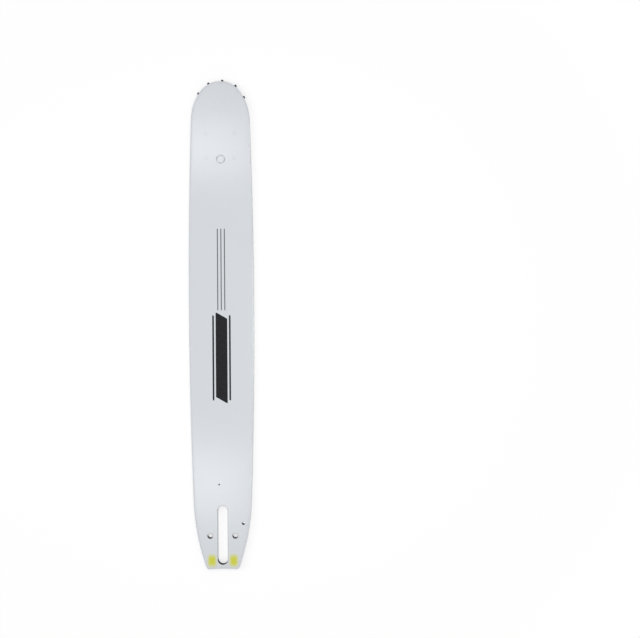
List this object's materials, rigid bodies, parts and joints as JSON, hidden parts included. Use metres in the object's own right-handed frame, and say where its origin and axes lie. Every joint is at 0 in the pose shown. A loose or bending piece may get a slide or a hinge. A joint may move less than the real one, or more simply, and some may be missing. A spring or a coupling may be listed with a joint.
{
  "type": "chainsaw guide bar",
  "caption": "Laminated steel chainsaw guide bar with an edge groove for the chain, a slotted tail that clamps to the saw, and a toothed sprocket turning on rollers in the nose.",
  "frame": {"origin": "middle of the stud slot, on the flat face that lies against the saw", "axes": "+X across the bar, +Y along the bar from tail to nose, +Z from the saw side to the front face"},
  "size_m": [0.0778, 0.5881, 0.0048],
  "materials": {
    "silver_lacquer": "satin",
    "core_steel": "bare ground steel",
    "sprocket_steel": "hardened, dark",
    "bearing_steel": "fine ground",
    "rivet_steel": "satin"
  },
  "bodies": {
    "bar": {"front_side_plate": "silver_lacquer", "back_side_plate": "silver_lacquer", "core_plate": "core_steel", "bearing_inner_race": "bearing_steel", "nose_rivets": "rivet_steel"},
    "sprocket": {"nose_sprocket": "sprocket_steel"},
    "rollers": {"bearing_roller_01": "bearing_steel", "bearing_roller_02": "bearing_steel", "bearing_roller_03": "bearing_steel", "bearing_roller_04": "bearing_steel", "bearing_roller_05": "bearing_steel", "bearing_roller_06": "bearing_steel", "bearing_roller_07": "bearing_steel", "bearing_roller_08": "bearing_steel", "bearing_roller_09": "bearing_steel", "bearing_roller_10": "bearing_steel", "bearing_roller_11": "bearing_steel", "bearing_roller_12": "bearing_steel", "bearing_roller_13": "bearing_steel", "bearing_roller_14": "bearing_steel", "bearing_roller_15": "bearing_steel", "bearing_roller_16": "bearing_steel", "bearing_roller_17": "bearing_steel", "bearing_roller_18": "bearing_steel", "bearing_roller_19": "bearing_steel", "bearing_roller_20": "bearing_steel", "bearing_roller_21": "bearing_steel", "bearing_roller_22": "bearing_steel"}
  },
  "joints": [
    {"name": "sprocket_spin", "type": "hinge", "parent": "bar", "child": "sprocket", "pos_m": [0, 0.5155, 0.0024], "axis": [0, 0, 1], "continuous": true},
    {"name": "roller_orbit", "type": "hinge", "parent": "bar", "child": "rollers", "pos_m": [0, 0.5155, 0.0024], "axis": [0, 0, 1], "continuous": true}
  ],
  "couplings": [
    {"joint": "roller_orbit", "follows": "sprocket_spin", "ratio": 0.56877}
  ]
}
